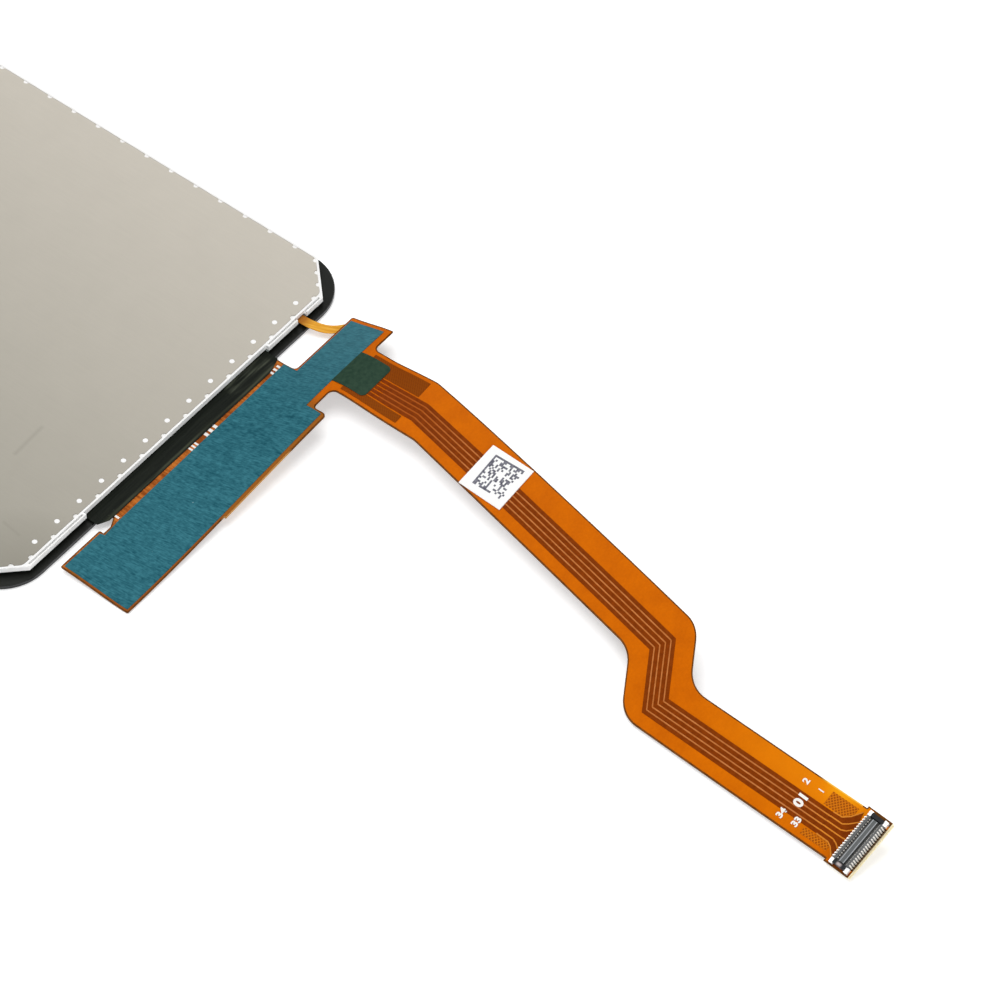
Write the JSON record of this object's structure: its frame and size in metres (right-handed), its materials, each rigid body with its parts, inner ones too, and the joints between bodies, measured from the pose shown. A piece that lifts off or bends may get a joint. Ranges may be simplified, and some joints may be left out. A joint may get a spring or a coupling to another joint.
{
  "type": "phone lcd screen assembly",
  "caption": "Phone display module lying face down: cover glass, glass layers, white-framed backlight and a flex with a board, a long cranked tail and a board-to-board connector.",
  "frame": {"origin": "centre of the cover glass's front face, which lies on the table", "axes": "+X across the display, +Y along it away from the flex, +Z out of the module's back"},
  "size_m": [0.0726, 0.2645, 0.0058],
  "materials": {
    "lens_glass": "clear glass with a black backing seen through it",
    "border_ink": "black ink",
    "clear_adhesive": "clear adhesive",
    "polarizer_film": "dark polarising film",
    "display_glass": "thin glass",
    "black_tape": "black tape with a soft sheen",
    "clear_film": "clear optical film",
    "guide_plastic": "clear light guide",
    "reflector_white": "white reflector film",
    "sheet_grey": "warm grey film, satin",
    "frame_white": "white moulded plastic",
    "tail_yellow": "yellow cover film over copper",
    "led_body": "white package with a yellow face",
    "silicon": "dark silicon",
    "bond_grey": "grey bonding film",
    "film_brown": "bare brown edge of the polyimide film",
    "flex_orange": "translucent orange cover film over copper",
    "film_teal": "teal film, satin",
    "film_green": "dark green film",
    "copper_dark": "copper under cover film",
    "copper_mesh": "hatched copper under cover film",
    "stiffener_cream": "cream glass-fibre board",
    "housing_black": "dark moulded plastic",
    "contact_gold": "gold-plated contact",
    "tab_metal": "tinned metal",
    "label_white": "white label"
  },
  "bodies": {
    "root": {"cover_lens": "lens_glass", "border_print": "border_ink", "optical_adhesive": "clear_adhesive", "front_polarizer": "polarizer_film", "colour_filter_glass": "display_glass", "tft_glass": "display_glass", "rear_polarizer": "polarizer_film", "rim_tape": "black_tape", "prism_film_upper": "clear_film", "prism_film_lower": "clear_film", "diffuser_film": "clear_film", "light_guide": "guide_plastic", "white_reflector": "reflector_white", "rear_sheet": "sheet_grey", "backlight_frame": "frame_white", "led_strip": "tail_yellow", "leds": "led_body", "driver_chip": "silicon", "bond_film": "bond_grey", "ledge_tape": "black_tape", "flex": "film_brown", "cover_film": "flex_orange", "board_film": "film_teal", "tongue_film": "film_green", "signal_tracks": "copper_dark", "ground_mesh": "copper_mesh", "stiffener": "stiffener_cream", "connector_housing": "housing_black", "connector_contacts": "contact_gold", "connector_holddowns": "tab_metal", "code_label": "label_white"}
  },
  "joints": []
}
